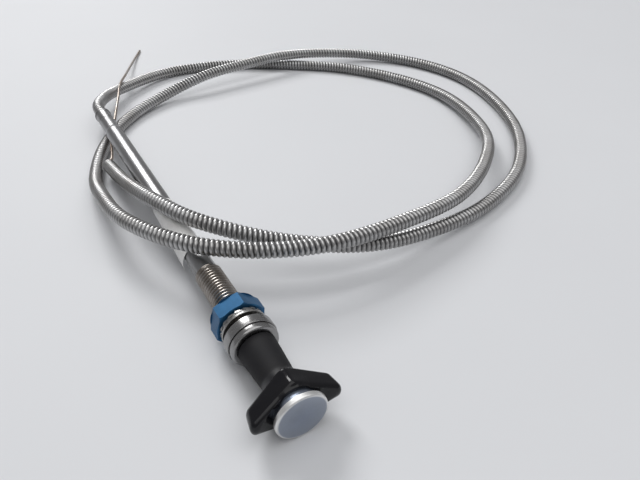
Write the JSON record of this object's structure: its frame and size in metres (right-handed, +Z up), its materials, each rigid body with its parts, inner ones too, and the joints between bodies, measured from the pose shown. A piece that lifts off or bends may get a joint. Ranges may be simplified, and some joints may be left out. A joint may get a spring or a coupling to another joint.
{
  "type": "locking push-pull control cable",
  "caption": "Locking pull control: T-handle with a push button, threaded bulkhead bushing with jam nut, guide tube and a long wound steel casing with its core wire, laid in loose loops.",
  "frame": {"origin": "on the ground under the middle of the rigid head, which is the handle, bushing and guide tube without the free casing and core wire", "axes": "+Z up; +Y along the head from the button towards the casing, whose axis rises 1 degree that way; +X across the handle's wings"},
  "size_m": [0.3877, 0.5497, 0.0346],
  "materials": {
    "handle_black": "high gloss black enamel",
    "button_metal": "machined, satin",
    "steel": "bright turned steel",
    "spring_steel": "bright drawn wire",
    "plated": "bright plated, turned",
    "thread_steel": "plated, brownish in the thread roots",
    "nut_blue": "blue anodised or dyed plating",
    "washer_steel": "zinc plated",
    "wiper_rubber": "moulded rubber",
    "tube_steel": "drawn and plated tube",
    "paper": "matt white paper, bare",
    "casing_steel": "wound steel wire, bright",
    "wire_steel": "drawn spring wire, dull",
    "bronze": "turned"
  },
  "bodies": {
    "housing": {"bushing": "thread_steel", "shaft_wiper": "wiper_rubber", "guide_tube": "tube_steel", "tube_ferrule": "steel", "paper_label": "paper", "casing": "casing_steel", "core_wire": "wire_steel"},
    "handle": {"t_handle": "handle_black", "handle_grub_screw": "steel", "slide_shaft": "plated", "lock_cage": "steel", "drive_wire": "wire_steel"},
    "button": {"push_button": "button_metal", "button_rod": "steel", "lock_cone": "bronze", "button_snap_ring": "spring_steel", "button_spring": "spring_steel"},
    "ball_1": {"lock_ball_1": "steel"},
    "ball_2": {"lock_ball_2": "steel"},
    "ball_3": {"lock_ball_3": "steel"},
    "washers": {"flat_washer": "washer_steel", "lock_washer": "washer_steel"},
    "nut": {"jam_nut": "nut_blue"}
  },
  "joints": [
    {"name": "handle_pull", "type": "slide", "parent": "housing", "child": "handle", "axis": [0, -0.9998, -0.0175], "range_m": [0, 0.0762]},
    {"name": "button_press", "type": "slide", "parent": "handle", "child": "button", "axis": [0, 0.9998, 0.0175], "range_m": [0, 0.003], "stiffness_N_per_m": 700, "springref_m": -0.004, "deforming": ["button_spring"]},
    {"name": "ball_1_in", "type": "slide", "parent": "handle", "child": "ball_1", "axis": [-1, 0, 0], "range_m": [0, 0.0004]},
    {"name": "ball_2_in", "type": "slide", "parent": "handle", "child": "ball_2", "axis": [0.5, -0.0151, 0.8659], "range_m": [0, 0.0004]},
    {"name": "ball_3_in", "type": "slide", "parent": "handle", "child": "ball_3", "axis": [0.5, 0.0151, -0.8659], "range_m": [0, 0.0004]},
    {"name": "nut_travel", "type": "slide", "parent": "housing", "child": "washers", "axis": [0, 0.9998, 0.0175], "range_m": [0, 0.012]},
    {"name": "nut_spin", "type": "hinge", "parent": "washers", "child": "nut", "pos_m": [0, -0.10333, 0.01523], "axis": [0, 0.9998, 0.0175], "range_deg": [0, 1872]}
  ],
  "couplings": [
    {"joint": "ball_1_in", "follows": "button_press", "ratio": 0.1333},
    {"joint": "ball_2_in", "follows": "button_press", "ratio": 0.1333},
    {"joint": "ball_3_in", "follows": "button_press", "ratio": 0.1333},
    {"joint": "nut_spin", "follows": "nut_travel", "rad_per_m": 2721.2}
  ]
}
